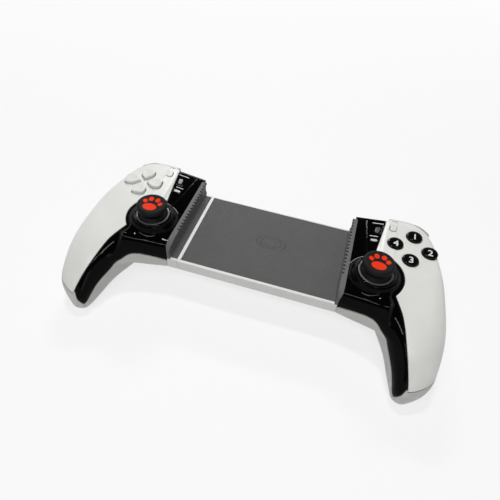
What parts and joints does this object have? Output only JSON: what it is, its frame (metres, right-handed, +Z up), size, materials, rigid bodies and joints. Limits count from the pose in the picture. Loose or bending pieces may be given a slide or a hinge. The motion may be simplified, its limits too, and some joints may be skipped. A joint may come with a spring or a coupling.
{
  "type": "portable game controller",
  "caption": "Telescopic game controller that clamps a phone between two grips, with thumb sticks, buttons, direction keys, shoulder buttons and triggers.",
  "frame": {"origin": "middle of the mat on the tray, where the phone's back lies", "axes": "+X along the tray towards the player's right hand, +Y away from the player, +Z up out of the mat"},
  "size_m": [0.2556, 0.1306, 0.0606],
  "materials": {
    "white_cover": "satin off-white moulded plastic",
    "black_trim": "piano black",
    "white_shell": "fine matt light plastic",
    "jaw_rubber": "matt grey silicone",
    "tray_mat": "grey rubber with fine raised dots",
    "board": "green solder mask",
    "stick_plastic": "black acetal",
    "light_ring": "translucent grey",
    "lens": "milky clear",
    "membrane": "silicone sheet",
    "black_button": "gloss black",
    "white_button": "satin white",
    "shoulder_plastic": "satin white",
    "stick_rubber": "matt black with a red print",
    "steel": "plain steel",
    "socket_steel": "stainless shell",
    "ribbon": "amber film",
    "battery_foil": "foil pouch"
  },
  "bodies": {
    "right_half": {"right_front_cover": "white_cover", "right_trim": "black_trim", "right_back_shell": "white_shell", "right_jaw_pad": "jaw_rubber", "right_board": "board", "right_stick_housing": "stick_plastic", "right_light_ring": "light_ring", "right_status_lens": "lens", "right_screws": "steel", "right_trigger_pin": "steel", "face_membrane": "membrane", "outer_tray": "white_shell", "outer_tray_mat": "tray_mat", "outer_tray_floor": "white_shell", "usb_c_socket": "socket_steel", "tension_springs": "steel", "link_ribbon": "ribbon"},
    "left_half": {"left_front_cover": "white_cover", "left_trim": "black_trim", "left_back_shell": "white_shell", "left_jaw_pad": "jaw_rubber", "left_board": "board", "left_stick_housing": "stick_plastic", "left_light_ring": "light_ring", "left_status_lens": "lens", "left_screws": "steel", "left_trigger_pin": "steel", "dpad_membrane": "membrane", "battery": "battery_foil", "inner_tray": "white_shell", "inner_tray_mat": "tray_mat"},
    "face_button_top": {"face_button_top": "black_button"},
    "face_button_right": {"face_button_right": "black_button"},
    "face_button_bottom": {"face_button_bottom": "black_button"},
    "face_button_left": {"face_button_left": "black_button"},
    "dpad_up": {"dpad_up": "white_button"},
    "dpad_right": {"dpad_right": "white_button"},
    "dpad_down": {"dpad_down": "white_button"},
    "dpad_left": {"dpad_left": "white_button"},
    "right_menu_button": {"right_menu_button": "white_button"},
    "right_function_button": {"right_function_button": "black_button"},
    "right_shoulder_button": {"right_shoulder_button": "shoulder_plastic"},
    "right_trigger": {"right_trigger": "shoulder_plastic"},
    "right_stick_rocker": {"right_stick_rocker": "stick_plastic"},
    "right_stick_pivot": {"right_stick_pivot": "stick_plastic"},
    "right_stick": {"right_stick_shaft": "steel", "right_stick_cap": "stick_rubber"},
    "left_menu_button": {"left_menu_button": "white_button"},
    "left_function_button": {"left_function_button": "black_button"},
    "left_shoulder_button": {"left_shoulder_button": "shoulder_plastic"},
    "left_trigger": {"left_trigger": "shoulder_plastic"},
    "left_stick_rocker": {"left_stick_rocker": "stick_plastic"},
    "left_stick_pivot": {"left_stick_pivot": "stick_plastic"},
    "left_stick": {"left_stick_shaft": "steel", "left_stick_cap": "stick_rubber"}
  },
  "joints": [
    {"name": "tray_slide", "type": "slide", "parent": "right_half", "child": "left_half", "axis": [-1, 0, 0], "range_m": [0, 0.08], "stiffness_N_per_m": 60, "springref_m": -0.04, "deforming": ["tension_springs", "link_ribbon"]},
    {"name": "face_button_top_press", "type": "slide", "parent": "right_half", "child": "face_button_top", "axis": [0, 0, -1], "range_m": [0, 0.0012], "stiffness_N_per_m": 400, "springref_m": -0.001},
    {"name": "face_button_right_press", "type": "slide", "parent": "right_half", "child": "face_button_right", "axis": [0, 0, -1], "range_m": [0, 0.0012], "stiffness_N_per_m": 400, "springref_m": -0.001},
    {"name": "face_button_bottom_press", "type": "slide", "parent": "right_half", "child": "face_button_bottom", "axis": [0, 0, -1], "range_m": [0, 0.0012], "stiffness_N_per_m": 400, "springref_m": -0.001},
    {"name": "face_button_left_press", "type": "slide", "parent": "right_half", "child": "face_button_left", "axis": [0, 0, -1], "range_m": [0, 0.0012], "stiffness_N_per_m": 400, "springref_m": -0.001},
    {"name": "dpad_up_press", "type": "slide", "parent": "left_half", "child": "dpad_up", "axis": [0, 0, -1], "range_m": [0, 0.0012], "stiffness_N_per_m": 400, "springref_m": -0.001},
    {"name": "dpad_right_press", "type": "slide", "parent": "left_half", "child": "dpad_right", "axis": [0, 0, -1], "range_m": [0, 0.0012], "stiffness_N_per_m": 400, "springref_m": -0.001},
    {"name": "dpad_down_press", "type": "slide", "parent": "left_half", "child": "dpad_down", "axis": [0, 0, -1], "range_m": [0, 0.0012], "stiffness_N_per_m": 400, "springref_m": -0.001},
    {"name": "dpad_left_press", "type": "slide", "parent": "left_half", "child": "dpad_left", "axis": [0, 0, -1], "range_m": [0, 0.0012], "stiffness_N_per_m": 400, "springref_m": -0.001},
    {"name": "right_menu_button_press", "type": "slide", "parent": "right_half", "child": "right_menu_button", "axis": [0, 0, -1], "range_m": [0, 0.0008], "stiffness_N_per_m": 500, "springref_m": -0.0008},
    {"name": "right_function_button_press", "type": "slide", "parent": "right_half", "child": "right_function_button", "axis": [0, 0, -1], "range_m": [0, 0.0008], "stiffness_N_per_m": 500, "springref_m": -0.0008},
    {"name": "right_shoulder_press", "type": "slide", "parent": "right_half", "child": "right_shoulder_button", "axis": [0, -1, 0], "range_m": [0, 0.0012], "stiffness_N_per_m": 700, "springref_m": -0.001},
    {"name": "right_trigger_pull", "type": "hinge", "parent": "right_half", "child": "right_trigger", "pos_m": [0.095, 0.036, -0.0036], "axis": [-1, 0, 0], "range_deg": [0, 15], "stiffness_Nm_per_rad": 0.12, "springref_deg": -8.59},
    {"name": "right_stick_fore_aft", "type": "hinge", "parent": "right_half", "child": "right_stick_rocker", "pos_m": [0.077, -0.0155, 0.0084], "axis": [1, 0, 0], "range_deg": [-15, 15], "stiffness_Nm_per_rad": 0.03},
    {"name": "right_stick_sideways", "type": "hinge", "parent": "right_stick_rocker", "child": "right_stick_pivot", "pos_m": [0.077, -0.0155, 0.0084], "axis": [0, 1, 0], "range_deg": [-15, 15], "stiffness_Nm_per_rad": 0.03},
    {"name": "right_stick_click", "type": "slide", "parent": "right_stick_pivot", "child": "right_stick", "axis": [0, 0, -1], "range_m": [0, 0.0005], "stiffness_N_per_m": 2500, "springref_m": -0.0006},
    {"name": "left_menu_button_press", "type": "slide", "parent": "left_half", "child": "left_menu_button", "axis": [0, 0, -1], "range_m": [0, 0.0008], "stiffness_N_per_m": 500, "springref_m": -0.0008},
    {"name": "left_function_button_press", "type": "slide", "parent": "left_half", "child": "left_function_button", "axis": [0, 0, -1], "range_m": [0, 0.0008], "stiffness_N_per_m": 500, "springref_m": -0.0008},
    {"name": "left_shoulder_press", "type": "slide", "parent": "left_half", "child": "left_shoulder_button", "axis": [0, -1, 0], "range_m": [0, 0.0012], "stiffness_N_per_m": 700, "springref_m": -0.001},
    {"name": "left_trigger_pull", "type": "hinge", "parent": "left_half", "child": "left_trigger", "pos_m": [-0.095, 0.036, -0.0036], "axis": [-1, 0, 0], "range_deg": [0, 15], "stiffness_Nm_per_rad": 0.12, "springref_deg": -8.59},
    {"name": "left_stick_fore_aft", "type": "hinge", "parent": "left_half", "child": "left_stick_rocker", "pos_m": [-0.077, -0.0155, 0.0084], "axis": [1, 0, 0], "range_deg": [-15, 15], "stiffness_Nm_per_rad": 0.03},
    {"name": "left_stick_sideways", "type": "hinge", "parent": "left_stick_rocker", "child": "left_stick_pivot", "pos_m": [-0.077, -0.0155, 0.0084], "axis": [0, 1, 0], "range_deg": [-15, 15], "stiffness_Nm_per_rad": 0.03},
    {"name": "left_stick_click", "type": "slide", "parent": "left_stick_pivot", "child": "left_stick", "axis": [0, 0, -1], "range_m": [0, 0.0005], "stiffness_N_per_m": 2500, "springref_m": -0.0006}
  ]
}
